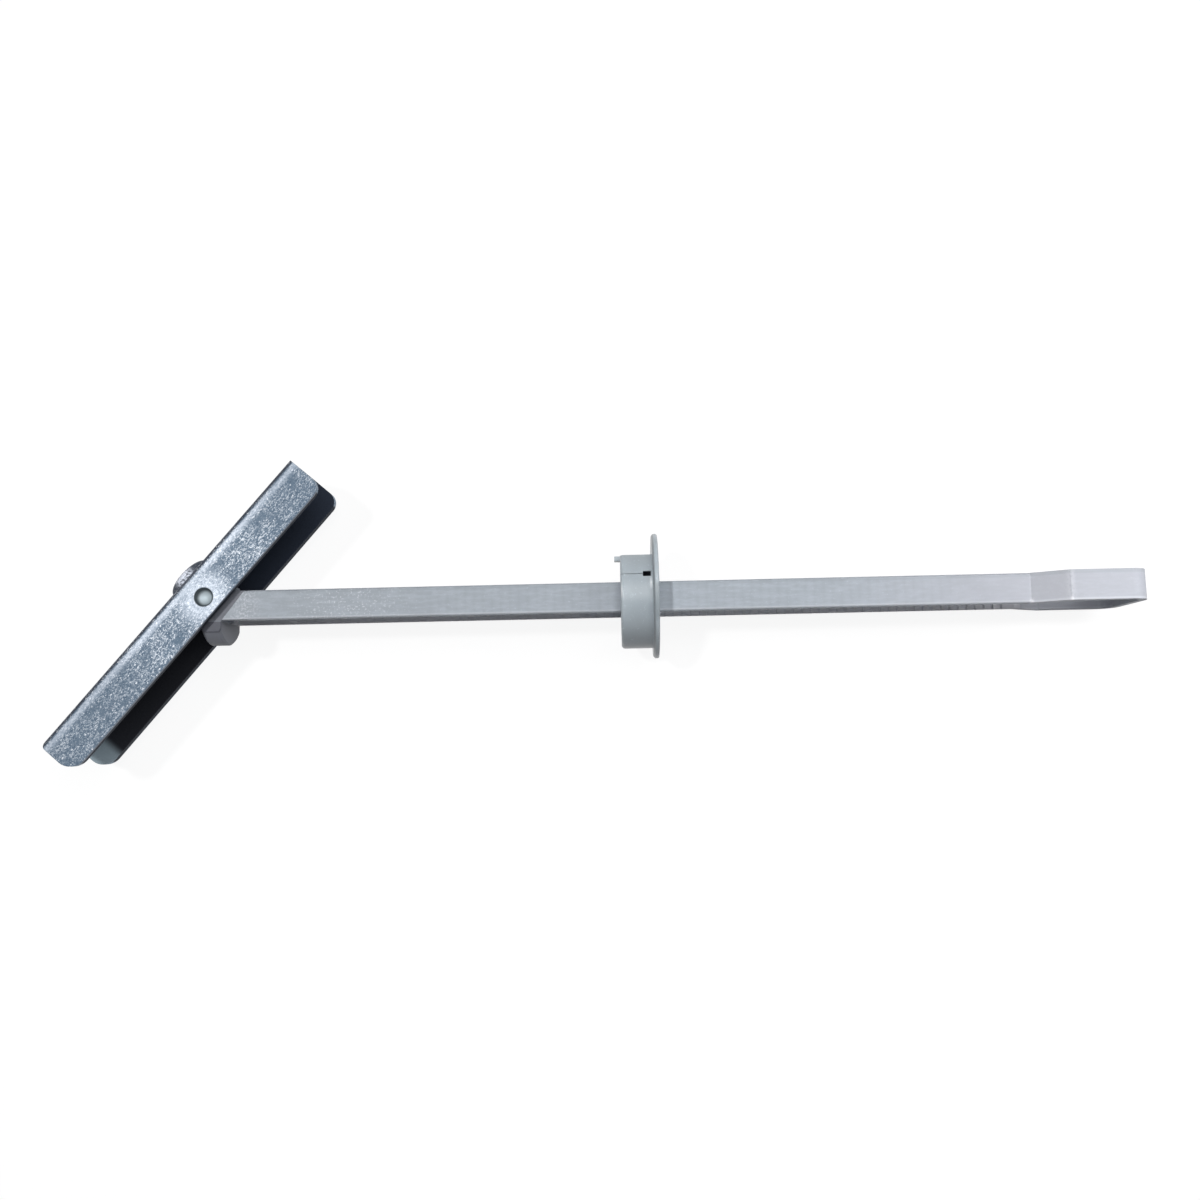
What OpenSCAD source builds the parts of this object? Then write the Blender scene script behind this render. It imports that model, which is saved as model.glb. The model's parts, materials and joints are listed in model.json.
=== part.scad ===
// Strap toggle anchor for hollow walls: a folded steel channel that hinges on a
// two-strap plastic carrier, and a flanged ratchet cap that slides along the straps.
// Millimetres. +X runs along the screw axis from the channel to the strap loop,
// +Z is the hinge axis. The origin is on the collar's axis, midway across the straps,
// in the wall-side face of the cap's flange. The screw runs through the hinge axis.

/* [Channel] */
// Outside width of the channel, along the hinge
channel_w = 11.15; // [11:0.05:11.6]
// Height of the flanges, from the back of the web to their free edges
channel_h = 6.2; // [5.8:0.1:6.6]
// Thickness of the sheet
sheet_t = 1.2; // [1.0:0.05:1.25]
// Outside radius of the two folds
fold_r = 1.1; // [0.8:0.05:1.5]
// Reach of the short arm beyond the hinge
short_arm = 22.3; // [18:0.1:26]
// Reach of the long arm beyond the hinge
long_arm = 29.8; // [26:0.1:36]
// Corner radius of the flanges at the end of the short arm
short_corner_r = 1.8; // [1:0.1:2.4]
// Corner radius of the flanges at the end of the long arm
long_corner_r = 2.5; // [1:0.1:3]
// Distance from the back of the web to the hinge axis
hinge_depth = 3.85; // [3.75:0.05:4]
// Diameter of the pressed dimple in each flange, seen from outside
dimple_d = 2.7; // [2.5:0.1:3]
// Outside diameter of the extruded boss on the web
boss_d = 7.0; // [6.6:0.1:7.6]
// Height of the boss above the back of the web
boss_h = 1.7; // [1.4:0.1:2.4]
// Bore of the boss before the M6 thread is cut
tap_d = 5.0; // [4.9:0.05:5.1]
// Angle between the channel and the straps
open_angle = 49.2; // [0:0.1:100]

/* [Straps] */
// Width of a strap across its flat face
strap_w = 4.2; // [3.8:0.1:4.4]
// Thickness of a strap over the tooth crests
strap_t = 1.0; // [0.9:0.05:1.1]
// Distance over the outer faces of the two straps
strap_span = 8.2; // [8.1:0.05:8.4]
// Pitch of the ratchet teeth
tooth_pitch = 1.25; // [1:0.05:1.6]
// Depth of the ratchet teeth
tooth_depth = 0.35; // [0.2:0.05:0.45]
// Distance from the hinge to the first tooth
first_tooth = 9.5; // [8:0.5:14]
// Number of teeth on each strap
tooth_count = 83; // [60:1:83]
// Distance from the hinge to where the straps spread apart
flare_start = 115; // [114.5:0.5:116]
// Distance from the hinge to the widest part of the loop
flare_end = 119.5; // [118.5:0.5:122]
// Distance from the hinge to the outer end of the loop
loop_end = 130.5; // [130:0.1:136]
// Outside width of the loop
loop_span = 13.6; // [11:0.1:15]
// Outside corner radius of the loop
loop_corner_r = 2.6; // [1.5:0.1:3.5]

/* [Yoke] */
// Radius of the round yoke that joins the straps under the screw
yoke_r = 5.3; // [5:0.05:5.5]
// Thickness of the yoke along the screw
yoke_t = 2.75; // [2:0.05:3]
// Clearance hole for the screw
screw_hole_d = 6.4; // [6.2:0.1:6.4]
// Height of the hinge and the screw above the middle of the straps
hinge_rise = 1.1; // [0.9:0.05:1.2]

/* [Cap] */
// Distance from the hinge to the wall side of the flange
cap_position = 62.6; // [35:0.1:105]
// Outside diameter of the collar that fills the drilled hole
collar_d = 13.9; // [13.3:0.1:14.2]
// Length of the collar
collar_l = 4.5; // [3.6:0.1:5]
// Wall of the collar
collar_wall = 1.1; // [0.9:0.05:1.3]
// Diameter of the flange
flange_d = 17.8; // [16.5:0.1:19]
// Thickness of the flange
flange_t = 0.8; // [0.7:0.05:1.2]
// Height of the flange's centre above the collar's axis
flange_offset = 0.5; // [0:0.05:0.6]
// Height of the flat release tongue above the collar's axis
tongue_h = 6.0; // [5.9:0.05:6.2]
// How far the nib of the tongue stands out beyond the collar
nib_l = 0.8; // [0.4:0.1:1.2]

/* [Hidden] */
$fn = 64;

fit_gap = 0.08;          // radial play of each hinge stud in its socket
slide_gap = 0.12;        // play between the straps and the cap
cut = 0.1;               // how far a cutting body passes a face

hinge_x = -cap_position;
hinge_y = hinge_rise;

web_back = hinge_depth;                    // heights about the hinge: back of the web
web_front = hinge_depth - sheet_t;
free_edge = hinge_depth - channel_h;
flange_in = channel_w / 2 - sheet_t;       // inner face of each flange
fold_in_r = 0.3;                           // inside radius of the two folds
web_corner_r = 1.0;                        // small radius where the long arm's web ends
stud_d = dimple_d - 0.3;                   // inward side of a pressed dimple
stud_h = 1.0;
stud_lead = 0.25;
dimple_depth = 0.8;                        // of the round dish that a dimple shows outside
boss_round = 0.6;
thread_lead = 0.25;                        // chamfer at each end of the tapped bore

strap_out = strap_span / 2;
strap_in = strap_out - strap_t;
lug_out = strap_out - 0.2;                 // the lugs are a step thinner than the straps
lug_r = 2.3;
strap_edge = 0.2;                          // chamfer along the outer edges of a strap
yoke_back = 0.85;                          // from the hinge axis to the yoke's back face
yoke_top = 2.3;                            // flat top of the yoke above the hinge axis
yoke_mouth = 4.8;                          // gap in the top of the yoke
yoke_edge = 0.3;
shoulder_top = 5.2;                        // where the thick strap ends at its upper edge
shoulder_low = 2.0;                        // and at its lower edge

collar_r = collar_d / 2;
collar_in = collar_r - collar_wall;
collar_round = 0.5;
guide_l = 3.2;                             // strap guide inside the collar
guide_top = 2.9;                           // its reach above the collar's axis
guide_low = 3.4;                           // and below
tongue_w = 5.2;
tongue_t = 0.65;
nib_w = 1.4;
nib_rise = 0.25;                           // from the top of the tongue to that of the nib
slit_w = 0.1;
slit_angle = 65;                           // from the top of the collar to each slit
window_l = 1.1;                            // relief window at the root of each slit
window_w = 0.85;
window_deep = 2.1;                         // inwards from the outside of the collar
window_gap = 0.25;                         // from the window to the flange
pawl_top = -0.9;                           // the pawls lie below the screw
pawl_h = 0.4;
flange_bevel = 0.25;                       // edge of the flange on its wall side
flange_edge = 0.15;                        // and on its room side

// ---------- channel: x along the arms, y up to the back of the web, z along the hinge ----------

// Folded outline, open towards -y, with two rounded corners at its top
module fold_outline(top, half_w, r) {
    low = free_edge - cut;
    translate([low, -half_w]) square([top - r - low, 2 * half_w]);
    translate([low, r - half_w]) square([top - low, 2 * (half_w - r)]);
    for (side = [-1, 1]) translate([top - r, side * (half_w - r)]) circle(r);
}

module channel_section() {
    difference() {
        fold_outline(web_back, channel_w / 2, fold_r);
        fold_outline(web_front, flange_in, fold_in_r);
        translate([free_edge - 3 * cut, -flange_in]) square([3 * cut, 2 * flange_in]);
    }
}

// Side view of both flanges, with round corners at the free edges
module channel_side() {
    short_x = short_arm - short_corner_r;
    long_x = long_arm - long_corner_r;
    web_x = long_arm - web_corner_r;
    translate([-long_arm, free_edge + long_corner_r])
        square([long_arm, channel_h - long_corner_r - web_corner_r]);
    translate([0, free_edge + short_corner_r]) square([short_arm, channel_h - short_corner_r]);
    translate([-long_x, free_edge]) square([long_x + short_x, channel_h]);
    translate([-web_x, web_back - web_corner_r - cut]) square([web_x, web_corner_r + cut]);
    translate([-web_x, web_back - web_corner_r]) circle(web_corner_r);
    translate([-long_x, free_edge + long_corner_r]) circle(long_corner_r);
    translate([short_x, free_edge + short_corner_r]) circle(short_corner_r);
}

module folded_sheet() {
    intersection() {
        translate([-long_arm - 1, 0, 0]) rotate([90, 0, 90])
            linear_extrude(long_arm + short_arm + 2) channel_section();
        linear_extrude(2 * channel_w, center = true) channel_side();
    }
}

// Extruded boss with a rounded rim, standing on z = 0
module boss() {
    rotate_extrude() {
        square([boss_d / 2, boss_h - boss_round]);
        square([boss_d / 2 - boss_round, boss_h]);
        translate([boss_d / 2 - boss_round, boss_h - boss_round]) circle(boss_round);
    }
    translate([0, 0, -sheet_t / 2]) cylinder(h = sheet_t, d = boss_d);
}

// Tapped bore through the boss and the web
module thread_bore() {
    depth = boss_h + sheet_t;
    lead_r = tap_d / 2 + thread_lead;
    translate([0, 0, -sheet_t - cut]) cylinder(h = depth + 2 * cut, d = tap_d);
    translate([0, 0, boss_h - thread_lead])
        cylinder(h = thread_lead + cut, r1 = tap_d / 2, r2 = lead_r + cut);
    translate([0, 0, -sheet_t - cut])
        cylinder(h = thread_lead + cut, r1 = lead_r + cut, r2 = tap_d / 2);
}

// Dish pressed into a flange from outside, its mouth at z = 0
module dimple_recess() {
    bowl_r = (pow(dimple_d / 2, 2) + pow(dimple_depth, 2)) / (2 * dimple_depth);
    translate([0, 0, bowl_r - dimple_depth]) sphere(bowl_r);
}

// Stud that the same dimple raises on the inside, standing on z = 0
module dimple_stud() {
    translate([0, 0, -cut]) cylinder(h = stud_h - stud_lead + cut, d = stud_d);
    translate([0, 0, stud_h - stud_lead])
        cylinder(h = stud_lead, d1 = stud_d, d2 = stud_d - 2 * stud_lead);
}

module channel() {
    color([0.66, 0.70, 0.76])
    translate([hinge_x, hinge_y, 0]) rotate(open_angle)
        difference() {
            union() {
                folded_sheet();
                translate([0, web_back, 0]) rotate([-90, 0, 0]) boss();
                for (side = [0, 1]) mirror([0, 0, side])
                    translate([0, 0, flange_in]) mirror([0, 0, 1]) dimple_stud();
            }
            translate([0, web_back, 0]) rotate([-90, 0, 0]) thread_bore();
            for (side = [0, 1]) mirror([0, 0, side])
                translate([0, 0, channel_w / 2]) dimple_recess();
        }
}

// ---------- straps: one moulding of two toothed straps, the yoke and the loop ----------

// Plan of one strap, x along it and y across the pair. The steep tooth flanks face the
// channel, so the cap climbs the ramps on its way there and catches on the way back.
module strap_plan() {
    tooth_x = hinge_x + first_tooth;
    teeth = [for (i = [0 : tooth_count - 1], end = [0, 1])
        [tooth_x + (i + end) * tooth_pitch, strap_in + end * tooth_depth]];
    strap_end = hinge_x + flare_start;
    polygon(concat(
        [[strap_end, strap_in], [strap_end, strap_out],
         [hinge_x - yoke_back, strap_out], [hinge_x - yoke_back, strap_in]],
        teeth,
        [[tooth_x + tooth_count * tooth_pitch, strap_in]]));
}

// Filled outline of the loop at one of its two faces
module loop_outline(start_y, half_w, end_x, r) {
    start_x = hinge_x + flare_start;
    wide_x = hinge_x + flare_end;
    polygon([[start_x, -start_y], [wide_x, -half_w], [end_x - r, -half_w],
             [end_x - r, half_w], [wide_x, half_w], [start_x, start_y]]);
    translate([wide_x, r - half_w]) square([end_x - wide_x, 2 * (half_w - r)]);
    for (side = [-1, 1]) translate([end_x - r, side * (half_w - r)]) circle(r);
}

module loop_plan() {
    outer_x = hinge_x + loop_end;
    difference() {
        loop_outline(strap_out, loop_span / 2, outer_x, loop_corner_r);
        loop_outline(strap_in, loop_span / 2 - strap_t, outer_x - strap_t, loop_corner_r - strap_t);
        translate([hinge_x + flare_start - cut, -strap_in]) square([2 * cut, 2 * strap_in]);
    }
}

// Raises a plan drawn in x and z to a slab centred on the screw axis
module slab(width) {
    rotate([90, 0, 0]) linear_extrude(width, center = true) children();
}

module yoke_disc() {
    rotate([0, 90, 0]) rotate_extrude()
        polygon([[0, 0], [yoke_r - yoke_edge, 0], [yoke_r, yoke_edge],
                 [yoke_r, yoke_t - yoke_edge], [yoke_r - yoke_edge, yoke_t], [0, yoke_t]]);
}

module yoke() {
    top = hinge_y + yoke_top;
    translate([hinge_x - yoke_back, 0, 0]) intersection() {
        yoke_disc();
        translate([-cut, -yoke_r - cut, -lug_out])
            cube([yoke_t + 2 * cut, yoke_r + cut + top, 2 * lug_out]);
    }
}

// Takes the outer step off a strap beside the channel, along a slanted shoulder
module shoulder_cut() {
    half = strap_w / 2 + cut;
    slope = (shoulder_top - shoulder_low) / strap_w;
    translate([hinge_x, 0, lug_out]) linear_extrude(strap_out)
        polygon([[-lug_r - cut, -half], [shoulder_low - slope * cut, -half],
                 [shoulder_top + slope * cut, half], [-lug_r - cut, half]]);
}

// Takes the sharp outer edges off a strap, up to the loop
module strap_edge_cut() {
    side = strap_edge * sqrt(2);
    for (level = [0, 1]) mirror([0, level, 0])
        translate([hinge_x - yoke_back - cut, strap_w / 2, strap_out]) rotate([45, 0, 0])
            translate([0, -side / 2, -side / 2]) cube([flare_start + yoke_back + cut, side, side]);
}

module straps() {
    color([0.80, 0.83, 0.87])
    difference() {
        union() {
            for (side = [0, 1]) mirror([0, 0, side]) {
                difference() {
                    slab(strap_w) strap_plan();
                    shoulder_cut();
                    strap_edge_cut();
                }
                translate([hinge_x, hinge_y, strap_in])
                    cylinder(h = lug_out - strap_in, r = lug_r);
            }
            slab(strap_w) loop_plan();
            yoke();
        }
        translate([hinge_x - yoke_back - 2, hinge_y, 0]) rotate([0, 90, 0])
            cylinder(h = yoke_t + 2 + cut, d = screw_hole_d);
        translate([hinge_x - yoke_back - 2, hinge_y, -yoke_mouth / 2])
            cube([yoke_t + 2 + cut, yoke_top + cut, yoke_mouth]);
        translate([hinge_x, hinge_y, -strap_out])
            cylinder(h = 2 * strap_out, d = stud_d + 2 * fit_gap);
    }
}

// ---------- cap: flange, collar, strap guide, pawls and release tongue ----------

// Collar with a rounded lip, cut flat along its top for the tongue
module collar() {
    translate([-collar_l, 0, 0]) difference() {
        rotate([0, 90, 0]) rotate_extrude() difference() {
            union() {
                translate([0, collar_round])
                    square([collar_r, collar_l - collar_round + flange_t / 2]);
                square([collar_r - collar_round, collar_l]);
                translate([collar_r - collar_round, collar_round]) circle(collar_round);
            }
            translate([-cut, -cut]) square([collar_in + cut, collar_l + flange_t]);
        }
        translate([-cut, tongue_h, -collar_r]) cube([collar_l + cut, collar_r, 2 * collar_r]);
    }
}

module flange() {
    r = flange_d / 2;
    translate([0, flange_offset, 0]) rotate([0, 90, 0]) rotate_extrude()
        polygon([[0, 0], [r - flange_bevel, 0], [r, flange_bevel], [r, flange_t - flange_edge],
                 [r - flange_edge, flange_t], [0, flange_t]]);
}

// Block inside the collar that carries the strap slots
module guide_block() {
    intersection() {
        translate([-guide_l, 0, 0]) rotate([0, 90, 0])
            cylinder(h = guide_l + cut, r = collar_in + collar_wall / 2);
        translate([-guide_l - cut, -guide_low, -collar_r])
            cube([guide_l + 2 * cut, guide_low + guide_top, 2 * collar_r]);
    }
}

// Flat tongue at the top of the collar, with a nib that stands out beyond the collar
module tongue() {
    translate([-collar_l, tongue_h - tongue_t, -tongue_w / 2])
        cube([collar_l + cut, tongue_t, tongue_w]);
    translate([-collar_l - nib_l, tongue_h + nib_rise - tongue_t, -nib_w / 2])
        cube([2 * nib_l, tongue_t, nib_w]);
}

// Slit and relief window that free the tongue from the rest of the collar
module slit() {
    translate([-collar_l - cut, collar_in - cut, -slit_w / 2])
        cube([collar_l + cut - window_gap - window_l / 2, collar_wall + 2 * cut, slit_w]);
    translate([-window_gap - window_l, collar_r - window_deep, -window_w / 2])
        cube([window_l, window_deep + cut, window_w]);
}

// Way for one strap through the guide and the flange
module strap_slot() {
    translate([-guide_l - cut, -strap_w / 2 - slide_gap, strap_in - slide_gap])
        cube([guide_l + flange_t + 2 * cut, strap_w + 2 * slide_gap, strap_t + 2 * slide_gap]);
}

// Two catch teeth that ride on one strap's teeth, below the screw
module pawl() {
    tip = strap_in - slide_gap;
    pawl_w = pawl_top + guide_low;
    translate([-guide_l, pawl_top - pawl_w / 2, 0]) slab(pawl_w)
        polygon([for (p = [[0, -pawl_h], [0, 0], [1, -tooth_depth / 2], [1, 0],
                           [2, -tooth_depth / 2], [2, -pawl_h]])
            [p[0] * tooth_pitch, tip + p[1]]]);
}

module cap() {
    color([0.80, 0.84, 0.88])
    difference() {
        union() {
            collar();
            flange();
            guide_block();
            tongue();
            for (side = [0, 1]) mirror([0, 0, side]) pawl();
        }
        for (side = [0, 1]) mirror([0, 0, side]) {
            strap_slot();
            rotate([slit_angle, 0, 0]) slit();
        }
        translate([-guide_l - cut, hinge_y, 0]) rotate([0, 90, 0])
            cylinder(h = guide_l + flange_t + 2 * cut, d = screw_hole_d);
    }
}

channel();
straps();
cap();
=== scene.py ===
"""Looks of a strap toggle anchor: zinc-plated channel, milky plastic straps and cap."""
import json
import math

import bpy
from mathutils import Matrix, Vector


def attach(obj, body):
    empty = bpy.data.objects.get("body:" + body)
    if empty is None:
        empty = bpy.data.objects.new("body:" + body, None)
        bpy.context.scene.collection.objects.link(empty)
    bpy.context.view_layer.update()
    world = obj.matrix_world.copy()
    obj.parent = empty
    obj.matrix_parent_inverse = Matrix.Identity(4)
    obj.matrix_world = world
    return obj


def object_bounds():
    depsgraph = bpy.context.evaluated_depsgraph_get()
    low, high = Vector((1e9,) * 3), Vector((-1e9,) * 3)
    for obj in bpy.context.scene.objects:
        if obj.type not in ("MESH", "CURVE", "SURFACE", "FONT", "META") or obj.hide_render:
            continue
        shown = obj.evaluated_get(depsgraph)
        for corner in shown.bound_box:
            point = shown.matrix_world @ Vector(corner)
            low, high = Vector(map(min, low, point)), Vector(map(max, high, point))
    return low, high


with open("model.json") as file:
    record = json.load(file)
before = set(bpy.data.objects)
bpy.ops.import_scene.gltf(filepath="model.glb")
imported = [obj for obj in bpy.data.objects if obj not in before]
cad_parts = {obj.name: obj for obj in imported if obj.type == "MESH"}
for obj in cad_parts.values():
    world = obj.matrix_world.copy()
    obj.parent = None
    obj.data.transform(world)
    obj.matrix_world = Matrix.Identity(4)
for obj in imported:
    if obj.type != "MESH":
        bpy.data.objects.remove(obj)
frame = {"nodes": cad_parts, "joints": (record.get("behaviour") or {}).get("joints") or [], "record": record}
CAD_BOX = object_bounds()

MM = 0.001

# ---------- where things are, from the frame ----------

joints = {joint["name"]: joint for joint in frame["joints"]}
mounts = {mount["name"]: mount for mount in frame["record"]["mounts"]}

HINGE = Vector(joints["channel_hinge"]["pos_m"])
# the hinge's lower limit folds the channel flat along the straps
CHANNEL_ANGLE = -math.radians(joints["channel_hinge"]["range_deg"][0])
ARM = Vector((math.cos(CHANNEL_ANGLE), math.sin(CHANNEL_ANGLE), 0))     # along the short arm
OPEN = Vector((math.sin(CHANNEL_ANGLE), -math.cos(CHANNEL_ANGLE), 0))   # from the web to the open side

# the channel's section: depths along OPEN from the hinge, widths along Z from the middle
SHEET_T = 1.2 * MM
WEB_BACK = -3.85 * MM
WEB_FRONT = WEB_BACK + SHEET_T
FREE_EDGE = WEB_BACK + 6.2 * MM
BOSS_TOP = WEB_BACK - 1.7 * MM
FLANGE_OUT = 5.575 * MM
FLANGE_IN = FLANGE_OUT - SHEET_T
DIMPLE_R = 1.35 * MM
TAP_R = mounts["screw_thread"]["dims"]["r_mm"] * MM

# the straps and the loop at their end
STRAP_TOP = 2.1 * MM
STRAP_OUT = 4.1 * MM
TOOTH_PITCH = 1.25 * MM
FIRST_CREASE = HINGE.x + 115 * MM
SECOND_CREASE = HINGE.x + 119.5 * MM

# the cap, from the collar's axis
COLLAR_R = mounts["wall_collar"]["dims"]["r_mm"] * MM

# ---------- camera ----------

PHOTO_SIZE = 1200
FOCAL_PX = 1123.4
SENSOR = 36.0
CAMERA_AT = Vector((-4.46, -18.74, 159.8)) * MM
CAMERA_TURN = (math.radians(6.727), math.radians(1.07), math.radians(-1.266))


def make_camera():
    data = bpy.data.cameras.new("photo_camera")
    data.sensor_width = SENSOR
    data.sensor_height = SENSOR
    data.lens = FOCAL_PX / PHOTO_SIZE * SENSOR
    data.clip_start = 5 * MM
    camera = bpy.data.objects.new("photo_camera", data)
    camera.location = CAMERA_AT
    camera.rotation_mode = "ZYX"
    camera.rotation_euler = CAMERA_TURN
    bpy.context.scene.collection.objects.link(camera)
    bpy.context.scene.camera = camera


# ---------- node helpers ----------

class Nodes:
    """A node tree with short calls to add and join nodes."""

    def __init__(self, owner):
        owner.use_nodes = True
        self.tree = owner.node_tree
        self.tree.nodes.clear()

    def add(self, kind, **values):
        node = self.tree.nodes.new("ShaderNode" + kind)
        for key, value in values.items():
            setattr(node, key, value)
        return node

    def feed(self, value, socket):
        """Join an output to a socket, or set the socket to a number or a colour."""
        if isinstance(value, bpy.types.NodeSocket):
            self.tree.links.new(value, socket)
        elif isinstance(value, (int, float)):
            socket.default_value = value
        elif len(socket.default_value) == 4:
            socket.default_value = (*value, 1.0)
        else:
            socket.default_value = tuple(value)

    def feed_all(self, values, sockets):
        for value, socket in zip(values, sockets):
            self.feed(value, socket)

    # numbers and vectors

    def math(self, operation, *values):
        node = self.add("Math", operation=operation)
        self.feed_all(values, node.inputs)
        return node.outputs[0]

    def vector(self, operation, *values):
        node = self.add("VectorMath", operation=operation)
        self.feed_all(values, node.inputs)
        return node.outputs["Value" if operation in ("DOT_PRODUCT", "LENGTH") else "Vector"]

    def parts(self, vector):
        node = self.add("SeparateXYZ")
        self.feed(vector, node.inputs[0])
        return node.outputs

    def joined(self, x, y, z):
        node = self.add("CombineXYZ")
        self.feed_all((x, y, z), node.inputs)
        return node.outputs[0]

    def absolute(self, value):
        return self.math("ABSOLUTE", value)

    def distance(self, a, b):
        """Distance from the point where both a and b are 0."""
        return self.vector("LENGTH", self.joined(a, b, 0.0))

    def noise(self, vector, size, detail, rough):
        node = self.add("TexNoise")
        self.feed(vector, node.inputs["Vector"])
        self.feed(1 / size, node.inputs["Scale"])
        self.feed(detail, node.inputs["Detail"])
        self.feed(rough, node.inputs["Roughness"])
        return node.outputs[0]

    # masks, from 0 to 1

    def band(self, value, off, on):
        """0 at off and 1 at on, smooth between them; off may be the higher of the two."""
        node = self.add("MapRange", interpolation_type="SMOOTHSTEP")
        self.feed(value, node.inputs["Value"])
        self.feed(min(off, on), node.inputs["From Min"])
        self.feed(max(off, on), node.inputs["From Max"])
        self.feed(0.0 if off < on else 1.0, node.inputs["To Min"])
        self.feed(1.0 if off < on else 0.0, node.inputs["To Max"])
        return node.outputs[0]

    def between(self, value, start, full, fade, end):
        """1 from full to fade, falling to 0 at start and at end."""
        return self.all_of(self.band(value, start, full), self.band(value, end, fade))

    def line(self, value, at, width):
        """1 where value is at, falling to 0 within width on both sides."""
        return self.band(self.absolute(self.math("SUBTRACT", value, at)), width, 0.0)

    def all_of(self, *masks):
        """The product of masks and strengths."""
        out = masks[0]
        for mask in masks[1:]:
            out = self.math("MULTIPLY", out, mask)
        return out

    def either(self, a, b):
        return self.math("MAXIMUM", a, b)

    def weaker(self, mask, where, scale):
        """The mask, scaled down to `scale` of itself where `where` is 1."""
        return self.math("MULTIPLY", mask, self.math("MULTIPLY_ADD", where, scale - 1.0, 1.0))

    # colours and normals

    def mix(self, factor, a, b):
        node = self.add("Mix", data_type="RGBA")
        self.feed(factor, node.inputs[0])
        self.feed(a, node.inputs[6])
        self.feed(b, node.inputs[7])
        return node.outputs[2]

    def bump(self, height, strength, distance, normal):
        node = self.add("Bump")
        self.feed(height, node.inputs["Height"])
        self.feed(strength, node.inputs["Strength"])
        self.feed(distance, node.inputs["Distance"])
        self.feed(normal, node.inputs["Normal"])
        return node.outputs[0]

    def soft_edges(self, radius):
        node = self.add("Bevel", samples=6)
        self.feed(radius, node.inputs["Radius"])
        return node.outputs[0]


class Surface(Nodes):
    """A material with one Principled shader, and a tone that marks are painted on in turn."""

    def __init__(self, name):
        self.material = bpy.data.materials.new(name)
        super().__init__(self.material)
        self.shader = self.add("BsdfPrincipled")
        self.feed(self.shader.outputs[0], self.add("OutputMaterial").inputs["Surface"])
        self.pos = self.add("TexCoord").outputs["Object"]
        self.x, self.y, self.z = self.parts(self.pos)
        self.across = self.absolute(self.z)
        self.tone = None

    def set(self, **values):
        for key, value in values.items():
            self.feed(value, self.shader.inputs[key.replace("_", " ")])

    def paint(self, colour, *masks, strength=1.0):
        """Lay a colour over the tone where all the masks are 1."""
        factor = self.all_of(*masks, strength) if strength < 1.0 else self.all_of(*masks)
        self.tone = self.mix(factor, self.tone, colour)


# ---------- stage and lights ----------

FLOOR_HALF = 3.0
FLOOR_GLOW = 0.90                        # the floor's own share of white, the rest is lit
FLOOR_SEEN = (0.15, 0.15, 0.15)
FLOOR_BOUNCE = (0.16, 0.16, 0.165)
WHITE = (1.0, 1.0, 1.0)                  # of the backdrop
CEILING = (0.30, 0.31, 0.33)             # overhead, in place of white, for gloss and glass
CEILING_HEIGHTS = (0.45, 0.85)           # of the ray: where the ceiling starts and is full
SOFT_SKY = (0.085, 0.088, 0.095)


def background_rays(n):
    """1 for rays that show the backdrop: from the camera, off gloss and through glass."""
    path = n.add("LightPath")
    seen = n.either(path.outputs["Is Camera Ray"], path.outputs["Is Glossy Ray"])
    return n.either(seen, path.outputs["Is Transmission Ray"]), path.outputs["Is Camera Ray"]


def floor_material():
    material = bpy.data.materials.new("floor_white")
    n = Nodes(material)
    seen, from_camera = background_rays(n)
    lit = n.add("BsdfDiffuse")
    n.feed(n.mix(from_camera, FLOOR_BOUNCE, FLOOR_SEEN), lit.inputs["Color"])
    glow = n.add("Emission")
    n.feed(n.math("MULTIPLY", seen, FLOOR_GLOW), glow.inputs["Strength"])
    both = n.add("AddShader")
    n.feed_all((lit.outputs[0], glow.outputs[0]), both.inputs)
    n.feed(both.outputs[0], n.add("OutputMaterial").inputs["Surface"])
    return material


def make_floor():
    low = CAD_BOX[0].z
    mesh = bpy.data.meshes.new("floor")
    corners = [(sx * FLOOR_HALF, sy * FLOOR_HALF, low) for sx, sy in ((-1, -1), (1, -1), (1, 1), (-1, 1))]
    mesh.from_pydata(corners, [], [(0, 1, 2, 3)])
    mesh.materials.append(floor_material())
    floor = bpy.data.objects.new("floor", mesh)
    bpy.context.scene.collection.objects.link(floor)


def make_world():
    world = bpy.data.worlds.new("studio")
    bpy.context.scene.world = world
    n = Nodes(world)
    seen, from_camera = background_rays(n)
    up = n.parts(n.add("TexCoord").outputs["Generated"])[2]
    ceiling = n.all_of(n.band(up, *CEILING_HEIGHTS), n.math("SUBTRACT", 1.0, from_camera))
    background = n.add("Background")
    n.feed(n.mix(seen, SOFT_SKY, n.mix(ceiling, WHITE, CEILING)), background.inputs["Color"])
    n.feed(background.outputs[0], n.add("OutputWorld").inputs["Surface"])


def area_light(name, at, aim, size, power):
    """A round lamp, with its place, aim and size in millimetres."""
    data = bpy.data.lights.new(name, "AREA")
    data.shape = "DISK"
    data.size = size * MM
    data.energy = power
    light = bpy.data.objects.new(name, data)
    light.location = Vector(at) * MM
    light.rotation_euler = (Vector(aim) - Vector(at)).to_track_quat("-Z", "Y").to_euler()
    bpy.context.scene.collection.objects.link(light)


def make_lights():
    area_light("key_left", at=(-240, 72, 557), aim=(-30, 0, 0), size=50, power=1.45)
    area_light("overhead", at=(50, 80, 280), aim=(20, 0, 0), size=220, power=0.37)
    area_light("fill_right", at=(112, 20, 66), aim=(50, 0, 0), size=50, power=0.050)


# ---------- zinc plate of the channel ----------

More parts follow.
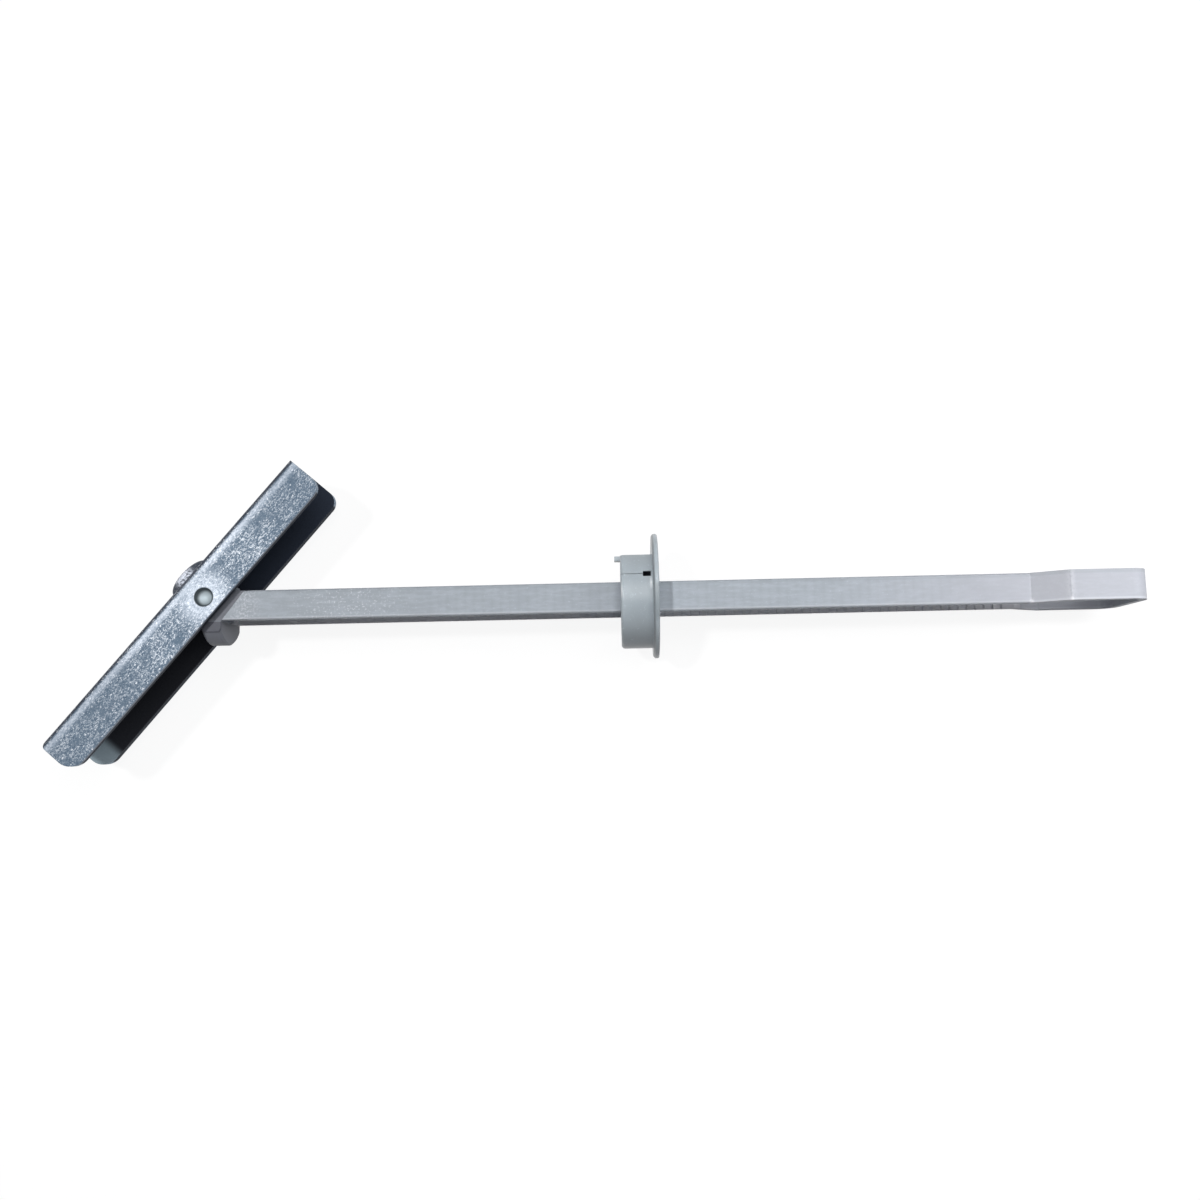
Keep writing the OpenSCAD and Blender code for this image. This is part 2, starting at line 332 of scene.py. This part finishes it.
class ZincPlate(Surface):
    """Bright zinc plate: fine crystal flecks, smoother along the bends and round the dimples, with painted
    shade and painted highlights.
    """

    # noises: size, detail and roughness
    FINE = (0.21 * MM, 3.0, 0.72)
    CURL = (0.37 * MM, 2.0, 0.6)
    SPARKLE = (0.31 * MM, 1.0, 0.5)
    CLUSTER = (1.9 * MM, 2.0, 0.5)
    STREAK = (0.8 * MM, 2.0, 0.5)
    GRAIN_STRETCH = 0.7                          # crystals and streaks are longer along the arms
    STREAK_STRETCH = 0.15

    # noise values: where a mark starts and where it is full
    PALE_GRAIN = (0.69, 0.83)
    CLUSTER_SHARE = 0.26                         # of the coarse noise in the pale grain
    DULL_GRAIN = (0.47, 0.36)
    SPARKLE_GRAIN = (0.66, 0.72)
    WORN_GRAIN = (0.36, 0.56)
    SQUIGGLE = (0.5, 0.055)                      # a thin level line of the curl noise
    SQUIGGLE_GRAIN = (0.42, 0.56)
    SQUIGGLE_CLUSTER = (0.30, 0.50)

    # distances: where a mark starts and is full and, where there are four, fades and ends
    OUTER_SKIN = (FLANGE_IN + 0.1 * MM, FLANGE_IN + 0.3 * MM)
    CALM_ENDS = (9 * MM, 17 * MM)                # from the hinge, along both arms
    STRIP = [WEB_BACK + depth * MM for depth in (0.75, 1.0, 1.2, 2.1)]
    RING = (5.2 * MM, 1.8 * MM)
    OUTER_TURN = (WEB_BACK + 0.80 * MM, WEB_BACK + 0.55 * MM)
    BOSS = (WEB_BACK - 0.02 * MM, WEB_BACK - 0.2 * MM)
    BOSS_MIDDLE = (2.0 * MM, 0.9 * MM)
    CUT_EDGE = (FREE_EDGE - 0.22 * MM, FREE_EDGE - 0.06 * MM)
    CUT_WIDTH = (FLANGE_OUT - 0.02 * MM, FLANGE_OUT - 0.1 * MM)
    CUT_UPPER = (FLANGE_IN + 0.5 * MM, FLANGE_IN + 0.9 * MM)
    DISH = (DIMPLE_R + 0.07 * MM, DIMPLE_R - 0.05 * MM)
    DISH_BOTTOM = (1.22 * MM, 0.72 * MM)
    DISH_SHIFT = 0.12 * MM                       # of the bottom, away from the web
    INSIDE_WIDTH = (FLANGE_IN + 0.12 * MM, FLANGE_IN + 0.02 * MM)
    INSIDE_DEPTH = (WEB_FRONT - 0.12 * MM, WEB_FRONT - 0.02 * MM)
    FILM_TURN = (-4 * MM, 6 * MM)                # from the long arm's painted shade to the short arm's
    FILM_WORN = (-25.6 * MM, -27.2 * MM)         # the painted pool of light by the end of the long arm

    # colours
    LOW, HIGH = (0.135, 0.195, 0.26), (0.20, 0.27, 0.345)
    PALE_STREAK = (0.33, 0.36, 0.41)
    PIT = (0.075, 0.105, 0.15)
    FLECK = (0.95, 0.97, 1.0)
    POLISHED, POLISHED_PIT = (0.66, 0.70, 0.76), (0.40, 0.44, 0.50)
    CALM_SHADE = (0.05, 0.08, 0.12)
    TURN_SHADE = (0.05, 0.055, 0.075)
    BOSS_SHADE, BOSS_WORN = (0.075, 0.08, 0.10), (0.78, 0.80, 0.86)
    CUT_SHADE, CUT_UPPER_SHADE = (0.035, 0.04, 0.05), (0.22, 0.24, 0.28)
    DISH_SHADE, DISH_POLISHED = (0.075, 0.09, 0.10), (0.47, 0.53, 0.56)
    FILM_LONG_ARM, FILM_SHORT_ARM = (0.035, 0.037, 0.045), (0.045, 0.056, 0.08)
    FILM_PATCH = (0.34, 0.405, 0.445)

    ROUGHNESS = 0.70
    ROUGHER_FLECKS, SMOOTHER_WEAR, FLATTER_WEAR = 0.12, 0.14, 0.7
    BUMP = {"strength": 0.35, "distance": 0.05 * MM}
    EDGE_RADIUS = 0.12 * MM

    def __init__(self):
        super().__init__("zinc_plate")
        from_hinge = self.vector("SUBTRACT", self.pos, HINGE)
        self.along = self.vector("DOT_PRODUCT", from_hinge, ARM)
        self.deep = self.vector("DOT_PRODUCT", from_hinge, OPEN)
        self.from_dimple = self.distance(self.along, self.deep)
        self.outer = self.band(self.across, *self.OUTER_SKIN)
        self.calm = self.band(self.absolute(self.along), *self.CALM_ENDS)
        self.make_grain()
        self.make_wear()
        self.paint_grain()
        self.paint_bends()
        self.paint_boss()
        self.paint_cut_edges()
        self.paint_dimples()
        self.paint_film()
        self.finish()

    def make_grain(self):
        """Fine and coarse grain, dull pits, and bright flecks: pale grains, squiggles and sparkles."""
        grain = self.joined(self.math("MULTIPLY", self.along, self.GRAIN_STRETCH), self.deep, self.z)
        self.fine = self.noise(grain, *self.FINE)
        self.coarse = self.noise(grain, *self.CLUSTER)
        self.dull = self.band(self.fine, *self.DULL_GRAIN)
        clustered = self.math("ADD", self.fine, self.math("MULTIPLY", self.coarse, self.CLUSTER_SHARE))
        pale = self.band(clustered, *self.PALE_GRAIN)
        squiggle = self.all_of(self.line(self.noise(grain, *self.CURL), *self.SQUIGGLE),
                               self.band(self.fine, *self.SQUIGGLE_GRAIN),
                               self.band(self.coarse, *self.SQUIGGLE_CLUSTER))
        sparkle = self.band(self.noise(grain, *self.SPARKLE), *self.SPARKLE_GRAIN)
        self.bright = self.either(self.weaker(self.either(pale, squiggle), self.calm, 0.82), sparkle)

    def make_wear(self):
        """Where the plate is rubbed smooth: the strip beside each bend and the ring round each dimple, also
        painted paler, partly as a painted highlight.
        """
        strip = self.weaker(self.all_of(self.between(self.deep, *self.STRIP), 0.85), self.calm, 0.80)
        ring = self.all_of(self.band(self.from_dimple, *self.RING), 0.8)
        self.smooth = self.all_of(self.either(strip, ring), self.outer)

    def paint_grain(self):
        self.tone = self.mix(self.coarse, self.LOW, self.HIGH)
        stretched = self.math("MULTIPLY", self.along, self.STREAK_STRETCH)
        streak = self.noise(self.joined(stretched, self.deep, self.across), *self.STREAK)
        self.paint(self.PALE_STREAK, streak, strength=0.3)
        self.paint(self.PIT, self.dull, strength=0.6)
        self.paint(self.FLECK, self.bright, strength=0.82)
        # partly real polish, partly a painted highlight: the smoother strip and ring are painted much paler
        # than the plate
        polish = self.mix(self.dull, self.POLISHED, self.POLISHED_PIT)
        self.paint(polish, self.smooth, strength=0.70)
        # painted shade: the plate darker towards the ends of both arms, away from the highlight by the
        # dimple
        self.paint(self.CALM_SHADE, self.calm, strength=0.18)

    def paint_bends(self):
        """Painted shade: the outer turn of each bend is darker, though less so on its bright flecks."""
        turn = self.all_of(self.band(self.deep, *self.OUTER_TURN), self.outer, 0.88)
        self.paint(self.TURN_SHADE, self.weaker(turn, self.bright, 0.55))

    def paint_boss(self):
        """Painted shade and highlight: the boss is dark, with a painted highlight along its middle."""
        worn = self.all_of(self.band(self.absolute(self.along), *self.BOSS_MIDDLE),
                           self.band(self.fine, *self.WORN_GRAIN))
        boss = self.mix(worn, self.BOSS_SHADE, self.BOSS_WORN)
        self.paint(boss, self.band(self.deep, *self.BOSS), strength=0.85)

    def paint_cut_edges(self):
        """The sheet's cut edges are dark, and paler at the outer side of the upper flange."""
        shade = self.mix(self.band(self.z, *self.CUT_UPPER), self.CUT_SHADE, self.CUT_UPPER_SHADE)
        self.paint(shade, self.band(self.deep, *self.CUT_EDGE), self.band(self.across, *self.CUT_WIDTH))

    def paint_dimples(self):
        """Painted shade and highlight: the dish of each dimple has a painted dark rim and a painted
        highlight at its bottom.
        """
        from_middle = self.distance(self.along, self.math("SUBTRACT", self.deep, self.DISH_SHIFT))
        bottom = self.band(from_middle, *self.DISH_BOTTOM)
        dish = self.mix(bottom, self.DISH_SHADE, self.DISH_POLISHED)
        self.paint(dish, self.band(self.from_dimple, *self.DISH), self.outer)

    def paint_film(self):
        """Painted shade: the inside of the fold is dark, bluer in the short arm as a painted reflection,
        with a painted pool of light by the end of the long arm.
        """
        film = self.mix(self.band(self.along, *self.FILM_TURN), self.FILM_LONG_ARM, self.FILM_SHORT_ARM)
        film = self.mix(self.band(self.along, *self.FILM_WORN), film, self.FILM_PATCH)
        self.paint(film, self.band(self.across, *self.INSIDE_WIDTH),
                   self.band(self.deep, *self.INSIDE_DEPTH))

    def finish(self):
        """Rougher on the flecks, smoother and flatter where the plate is rubbed smooth."""
        rough = self.math("MULTIPLY_ADD", self.fine, self.ROUGHER_FLECKS, self.ROUGHNESS)
        rough = self.math("SUBTRACT", rough, self.math("MULTIPLY", self.smooth, self.SMOOTHER_WEAR))
        flat = self.math("SUBTRACT", 1.0, self.math("MULTIPLY", self.smooth, self.FLATTER_WEAR))
        height = self.math("MULTIPLY", self.fine, flat)
        normal = self.bump(height, normal=self.soft_edges(self.EDGE_RADIUS), **self.BUMP)
        self.set(Base_Color=self.tone, Metallic=1.0, Roughness=rough, Normal=normal)


# ---------- plastic of the straps and the cap ----------

class Plastic(Surface):
    """Uncoloured moulded plastic: milky, faintly mottled, with softened edges."""

    # noises: size, detail and roughness
    CLOUD = (2.6 * MM, 3.0, 0.6)
    SPECK = (0.34 * MM, 2.0, 0.6)
    PALE_SPECK = (0.60, 0.75)
    SCATTER = {"Subsurface_Weight": 0.30, "Subsurface_Radius": (1.0, 0.97, 0.93),
               "Subsurface_Scale": 0.5 * MM}
    BUMP = {"strength": 0.15, "distance": 0.03 * MM}
    EDGE_RADIUS = 0.15 * MM

    def __init__(self, name, colour, roughness):
        super().__init__(name)
        self.colour = colour
        self.speck = self.noise(self.pos, *self.SPECK)
        self.tone = self.mix(self.noise(self.pos, *self.CLOUD), self.tint(0.92), self.tint(1.08))
        self.paint(self.tint(1.25), self.band(self.speck, *self.PALE_SPECK))
        self.paint_marks()
        normal = self.bump(self.speck, normal=self.soft_edges(self.EDGE_RADIUS), **self.BUMP)
        self.set(Base_Color=self.tone, Roughness=roughness, Normal=normal, **self.SCATTER)

    def tint(self, factor):
        """The plastic's own colour, paler or darker."""
        return tuple(min(1.0, factor * channel) for channel in self.colour)


class CapPlastic(Plastic):
    """The cap: painted shade in the relief windows, on the collar's lower side and on the flange, and two
    painted glints.
    """

    # distances: where a mark starts and is full and, where there are four, fades and ends
    WINDOW_DEPTH = (COLLAR_R - 0.12 * MM, COLLAR_R - 0.3 * MM)
    WINDOW_SIDE = (3.4 * MM, 3.6 * MM)
    WINDOW_HEIGHT = (1.6 * MM, 1.9 * MM)
    LOWER_SIDE = (-1.5 * MM, -6.5 * MM)
    WALL_SIDE = (0.30 * MM, 0.12 * MM)
    WALL_SIDE_RADIUS = (COLLAR_R, COLLAR_R + 0.45 * MM)
    SKIN = (COLLAR_R - 0.35 * MM, COLLAR_R - 0.15 * MM)
    FLANGE_RIM = (7.7 * MM, 7.9 * MM)
    FLANGE_MIDDLE = (-4.5 * MM, -3.0 * MM, 0.8 * MM, 2.0 * MM)
    # marks along a line: its middle and its half width
    WINDOW_ALONG = (-0.8 * MM, 0.62 * MM)
    ROOT_GLINT = {"along": (-0.26 * MM, 0.30 * MM), "up": (1.6 * MM, 1.2 * MM)}
    END_GLINT = {"along": (-4.45 * MM, 0.40 * MM), "up": (0.6 * MM, 1.7 * MM)}

    # colours
    WINDOW_SHADE = (0.015, 0.018, 0.025)
    WALL_SIDE_SHADE = (0.06, 0.065, 0.08)
    GLINT = (0.95, 0.98, 1.0)

    def paint_marks(self):
        self.from_axis = self.distance(self.y, self.z)
        self.paint_windows()
        # painted shade: the collar darker towards its lower side
        self.paint(self.tint(0.2), self.band(self.y, *self.LOWER_SIDE), strength=0.30)
        # painted shade on the flange's wall side, towards its rim
        self.paint(self.WALL_SIDE_SHADE, self.band(self.x, *self.WALL_SIDE),
                   self.band(self.from_axis, *self.WALL_SIDE_RADIUS), strength=0.5)
        # painted highlights: glints at the flange's root and at the collar's end
        skin = self.band(self.from_axis, *self.SKIN)
        glints = self.either(self.glint(**self.ROOT_GLINT), self.glint(**self.END_GLINT))
        self.paint(self.GLINT, glints, skin)
        # painted shade: the flange's rim darker about its middle height
        self.paint(self.tint(0.55), self.band(self.from_axis, *self.FLANGE_RIM),
                   self.between(self.y, *self.FLANGE_MIDDLE), strength=0.6)

    def paint_windows(self):
        """Painted shade: the walls of the relief windows are dark below the collar's skin."""
        window = self.all_of(self.band(self.from_axis, *self.WINDOW_DEPTH),
                             self.band(self.across, *self.WINDOW_SIDE),
                             self.band(self.y, *self.WINDOW_HEIGHT),
                             self.line(self.x, *self.WINDOW_ALONG))
        self.paint(self.WINDOW_SHADE, self.band(window, 0.0, 0.1))

    def glint(self, along, up):
        return self.all_of(self.line(self.x, *along), self.line(self.y, *up))


class StrapPlastic(Plastic):
    """The straps: drawn streaks, scuffs by the hinge, darker rims and whitened creases, with painted light
    and shade: a highlight on each lower rim, light on the lower strap, shade on the yoke and the lugs.
    """

    STREAK = (0.5 * MM, 3.0, 0.65)
    STREAK_STRETCH = 0.2                         # streaks are longer along the straps

    # noise values: where a mark starts and where it is full
    DARK_STREAK, PALE_STREAK = (0.56, 0.40), (0.50, 0.66)
    SCUFF_SPECK, FRAYED_SPECK, CREASE_SPECK = (0.54, 0.68), (0.46, 0.60), (0.30, 0.55)

    # places along the straps: where a mark starts and is full and, of four, fades and ends
    FAR_END = (FIRST_CREASE - 35 * MM, FIRST_CREASE)
    SLOPE = (FIRST_CREASE, FIRST_CREASE + 0.3 * MM, SECOND_CREASE - 0.3 * MM, SECOND_CREASE)
    RIBS = (HINGE.x + 28 * MM, HINGE.x + 34 * MM, FIRST_CREASE - 14 * MM, FIRST_CREASE - 8 * MM)
    BEFORE_LOOP = (FIRST_CREASE + 3 * MM, FIRST_CREASE - 1 * MM)
    YOKE_END = (HINGE.x + 4.2 * MM, HINGE.x + 3.2 * MM)
    LUG_END = (HINGE.x + 6 * MM, HINGE.x + 5.5 * MM)
    # places along the straps: the middle of a mark and its half width
    SCUFFED = (HINGE.x + 20 * MM, 11 * MM)
    FRAYED = (HINGE.x + 5.2 * MM, 3.2 * MM)

    # heights across a strap, in the same way
    TOP_RIM = (STRAP_TOP - 0.6 * MM, STRAP_TOP - 0.45 * MM)
    LOW_RIM = (0.2 * MM - STRAP_TOP, 0.28 * MM)  # the middle and half width of a line
    PALE_EDGE = (-1.0 * MM, -1.35 * MM)
    LOW_EDGE = (-1.3 * MM, -1.9 * MM)
    YOKE_BELOW, LUG_ABOVE = (-2.0 * MM, -2.3 * MM), (-2.2 * MM, -2.05 * MM)

    # places along Z, in the same way
    OUTER_SKIN = (STRAP_OUT - 0.4 * MM, STRAP_OUT - 0.1 * MM)
    INNER_FACE = (0.25 * MM - STRAP_OUT, 0.4 * MM - STRAP_OUT)
    LOWER_STRAP, UPPER_STRAP = (0.0, -1 * MM), (0.0, 1 * MM)
    YOKE_TOP = (3.6 * MM, 3.85 * MM)
    LUG = [STRAP_OUT - depth * MM for depth in (0.5, 0.35, 0.14, 0.06)]

    # each fold into the loop: its place, the half width of its mottling, and how strong it is
    CREASES = ((FIRST_CREASE, 0.26 * MM, 0.14), (SECOND_CREASE, 0.90 * MM, 0.20))
    SPOT_HALF, SPOT_STRENGTH = 0.4 * MM, 0.75

    # colours
    FAR_TONE = (0.47, 0.47, 0.52)
    WHITENED = (0.88, 0.88, 0.92)
    SCUFF_TONE = (0.70, 0.73, 0.77)
    LOW_RIM_TONE = (0.75, 0.77, 0.82)
    YOKE_SHADE, YOKE_TOP_SHADE = (0.215, 0.225, 0.26), (0.085, 0.09, 0.112)
    FRAYED_TONE = (0.72, 0.74, 0.79)
    LUG_SHADE = (0.12, 0.125, 0.15)

    def paint_marks(self):
        self.outer = self.band(self.across, *self.OUTER_SKIN)
        self.paint_streaks()
        self.paint_far_end()
        self.paint_ribs()
        self.paint_scuffs()
        self.paint_rims()
        self.paint_inner_edge()
        self.paint_yoke()
        self.paint_lugs()
        for crease in self.CREASES:
            self.paint_crease(*crease)

    def paint_streaks(self):
        stretched = self.math("MULTIPLY", self.x, self.STREAK_STRETCH)
        streak = self.noise(self.joined(stretched, self.y, self.z), *self.STREAK)
        self.paint(self.tint(0.8), self.band(streak, *self.DARK_STREAK), strength=0.30)
        self.paint(self.tint(1.25), self.band(streak, *self.PALE_STREAK), strength=0.30)

    def paint_far_end(self):
        """The straps turn paler towards the loop, and again on the slope between its creases."""
        self.paint(self.FAR_TONE, self.band(self.x, *self.FAR_END), strength=0.6)
        self.paint(self.WHITENED, self.between(self.x, *self.SLOPE), strength=0.12)

    def paint_ribs(self):
        """The teeth of the inner face show through as faint ribs."""
        rib = self.absolute(self.math("SINE", self.math("MULTIPLY", self.x, math.pi / TOOTH_PITCH)))
        self.paint(self.tint(1.3), rib, self.between(self.x, *self.RIBS), self.outer, strength=0.15)

    def paint_scuffs(self):
        self.paint(self.SCUFF_TONE, self.line(self.x, *self.SCUFFED),
                   self.band(self.speck, *self.SCUFF_SPECK), self.outer, strength=0.7)

    def paint_rims(self):
        """The top edge of each strap is darker, and its lower edge has a paler line, a painted highlight."""
        self.paint(self.tint(0.7), self.band(self.y, *self.TOP_RIM), self.outer, strength=0.25)
        self.paint(self.LOW_RIM_TONE, self.line(self.y, *self.LOW_RIM), self.outer, strength=0.40)

    def paint_inner_edge(self):
        """Painted light: the toothed face of the lower strap is painted pale along its lower edge, where it
        shows below the upper strap.
        """
        self.paint(self.WHITENED, self.band(self.z, *self.INNER_FACE), self.band(self.z, *self.LOWER_STRAP),
                   self.band(self.x, *self.BEFORE_LOOP), self.band(self.y, *self.PALE_EDGE))

    def paint_yoke(self):
        """The thick yoke has painted shade below the straps, and the straps are frayed above it."""
        shade = self.mix(self.band(self.z, *self.YOKE_TOP), self.YOKE_SHADE, self.YOKE_TOP_SHADE)
        self.paint(shade, self.band(self.x, *self.YOKE_END), self.band(self.y, *self.YOKE_BELOW))
        self.paint(self.FRAYED_TONE, self.line(self.x, *self.FRAYED),
                   self.band(self.speck, *self.FRAYED_SPECK), self.outer, strength=0.45)

    def paint_lugs(self):
        """The face of each lug, a step lower than the strap's, is dark: a painted shadow of the channel's
        flange.
        """
        self.paint(self.LUG_SHADE, self.between(self.across, *self.LUG),
                   self.band(self.x, *self.LUG_END), self.band(self.y, *self.LUG_ABOVE), strength=0.85)

    def paint_crease(self, place, half_width, strength):
        """Stress-whitened mottling across a fold of the upper strap, and a spot at its lower edge."""
        mottled = self.all_of(self.line(self.x, place, half_width),
                              self.band(self.speck, *self.CREASE_SPECK), self.outer, strength)
        spot = self.all_of(self.line(self.x, place, self.SPOT_HALF), self.band(self.y, *self.LOW_EDGE),
                           self.SPOT_STRENGTH)
        self.paint(self.WHITENED, self.either(mottled, spot), self.band(self.z, *self.UPPER_STRAP))


def dress(node, surface):
    mesh = frame["nodes"][node].data
    mesh.materials.clear()
    mesh.materials.append(surface.material)


# ---------- the M6 thread in the channel's boss ----------

THREAD_PITCH = 1.0 * MM
THREAD_DEPTH = 0.24 * MM
THREAD_LEAD = 0.3 * MM                   # plain bore left at each end
THREAD_STEPS = 56                        # in one turn
THREAD_FADE = 14                         # steps over which the ridge rises at each end
FIRST_MIDDLE = 0.22                      # pitches from the start to the middle of the first section
SPARE_TURNS = 0.45                       # kept back, so that the ridge ends inside the bore
ROOT_SUNK = 0.02 * MM                    # how far the ridge's foot lies inside the bore's wall
# the ridge's section: places along the bore in pitches, and the share of the depth there
RIDGE = ((-0.44, 0.0), (-0.07, 1.0), (0.07, 1.0), (0.44, 0.0))


def thread_points(start, count):
    """The points of the ridge's section at each step of the helix, from start towards the boss's top."""
    points = []
    for step in range(count + 1):
        angle = 2 * math.pi * step / THREAD_STEPS
        outward = math.cos(angle) * ARM + math.sin(angle) * Vector((0, 0, 1))
        fade = min(1.0, step / THREAD_FADE, (count - step) / THREAD_FADE)
        middle = start - THREAD_PITCH * step / THREAD_STEPS
        for side, share in RIDGE:
            radius = TAP_R + ROOT_SUNK - THREAD_DEPTH * share * fade
            points.append(HINGE + outward * radius + OPEN * (middle + side * THREAD_PITCH))
    return points


def thread_faces(count):
    corners = len(RIDGE)
    faces = []
    for step in range(count):
        for corner in range(corners):
            a = corners * step + corner
            b = corners * step + (corner + 1) % corners
            faces.append((a, b, b + corners, a + corners))
    faces.append(tuple(reversed(range(corners))))
    faces.append(tuple(corners * count + corner for corner in range(corners)))
    return faces


def make_thread(surface):
    """A helical ridge along the tapped bore, thin at both ends."""
    start = WEB_FRONT - THREAD_LEAD
    turns = (start - BOSS_TOP - THREAD_LEAD) / THREAD_PITCH - SPARE_TURNS
    count = int(THREAD_STEPS * turns)
    points = thread_points(start - FIRST_MIDDLE * THREAD_PITCH, count)
    mesh = bpy.data.meshes.new("boss_thread")
    mesh.from_pydata(points, [], thread_faces(count))
    mesh.validate()
    mesh.update()
    mesh.materials.append(surface.material)
    piece = bpy.data.objects.new("boss_thread", mesh)
    bpy.context.scene.collection.objects.link(piece)
    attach(piece, "channel")


make_camera()
make_world()
make_floor()
make_lights()
bpy.context.scene.view_settings.view_transform = "Standard"
zinc = ZincPlate()
dress("channel", zinc)
dress("straps", StrapPlastic("strap_plastic", colour=(0.39, 0.43, 0.475), roughness=0.56))
dress("cap", CapPlastic("cap_plastic", colour=(0.47, 0.53, 0.57), roughness=0.29))
make_thread(zinc)
